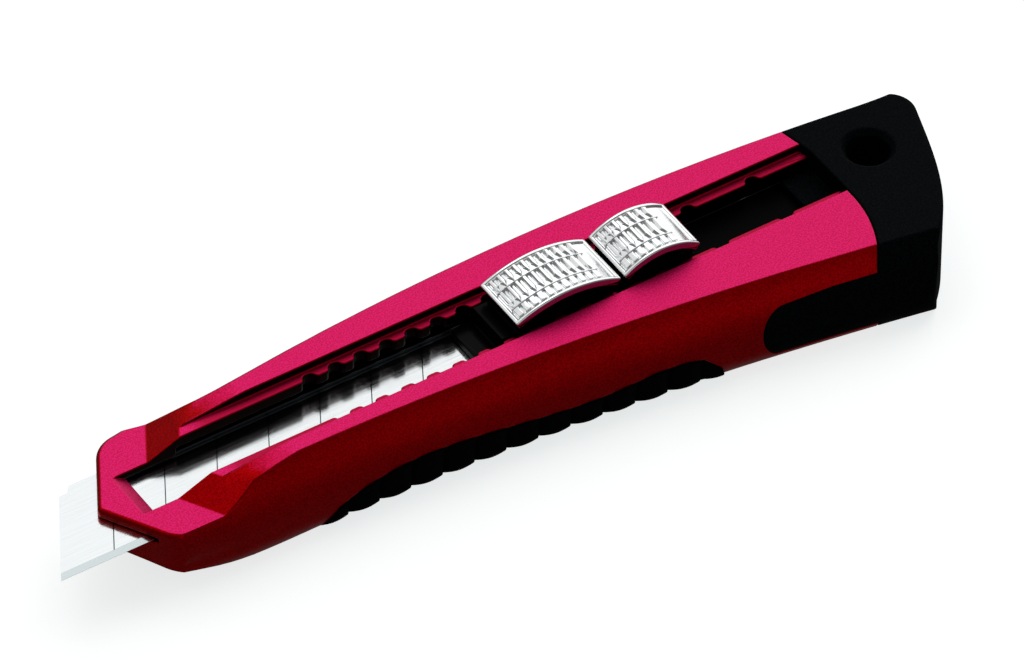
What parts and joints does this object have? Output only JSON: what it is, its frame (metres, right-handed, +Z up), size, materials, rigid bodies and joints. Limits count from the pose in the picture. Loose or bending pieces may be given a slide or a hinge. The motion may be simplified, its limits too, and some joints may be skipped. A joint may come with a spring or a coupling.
{
  "type": "utility knife",
  "caption": "Snap-off utility knife with a die-cast body, sliding auto-lock button, spare blade magazine, rubber grips and a pull-off end cap.",
  "frame": {"origin": "centre of the bounding box's base, on the surface the knife lies on", "axes": "+X from the blade's tip to the tail, +Y from the cutting edge to the blade's back, +Z up through the slider"},
  "size_m": [0.1772, 0.0455, 0.0207],
  "materials": {
    "red_casting": "satin metallic red",
    "black_plastic": "fine spark-eroded texture",
    "gloss_black_plastic": "gloss",
    "black_rubber": "matt",
    "chrome_plate": "bright satin chrome",
    "blade_steel": "polished",
    "stainless": "rolled sheet",
    "spring_steel": "blued",
    "zinc_steel": "zinc plated"
  },
  "bodies": {
    "body": {"body_casting": "red_casting", "base_plate": "red_casting", "base_screws": "zinc_steel", "blade_channel": "stainless", "rear_guide": "gloss_black_plastic", "channel_screws": "zinc_steel", "magazine_tray": "black_plastic", "magazine_spring": "spring_steel", "near_grip": "black_rubber", "far_grip": "black_rubber"},
    "slider": {"blade": "blade_steel", "slider_carrier": "gloss_black_plastic", "blade_pin": "zinc_steel", "front_cover": "chrome_plate", "front_rivets": "zinc_steel"},
    "lock": {"lock_block": "gloss_black_plastic", "rear_cover": "chrome_plate", "rear_rivet": "zinc_steel", "detent_spring": "spring_steel"},
    "magazine": {"follower_plate": "zinc_steel", "spare_blade_1": "blade_steel", "spare_blade_2": "blade_steel", "spare_blade_3": "blade_steel"},
    "cap": {"end_cap": "black_plastic", "cap_clip": "spring_steel"}
  },
  "joints": [
    {"name": "blade_slide", "type": "slide", "parent": "body", "child": "slider", "axis": [1, 0, 0], "range_m": [-0.06, 0.02], "deforming": ["detent_spring"]},
    {"name": "lock_slide", "type": "slide", "parent": "slider", "child": "lock", "axis": [1, 0, 0], "range_m": [0, 0.0025]},
    {"name": "magazine_feed", "type": "slide", "parent": "body", "child": "magazine", "axis": [0, 0, 1], "range_m": [-0.0012, 0], "stiffness_N_per_m": 400, "springref_m": 0.004, "deforming": ["magazine_spring"]},
    {"name": "cap_slide", "type": "slide", "parent": "body", "child": "cap", "axis": [1, 0, 0], "range_m": [0, 0.05]}
  ]
}
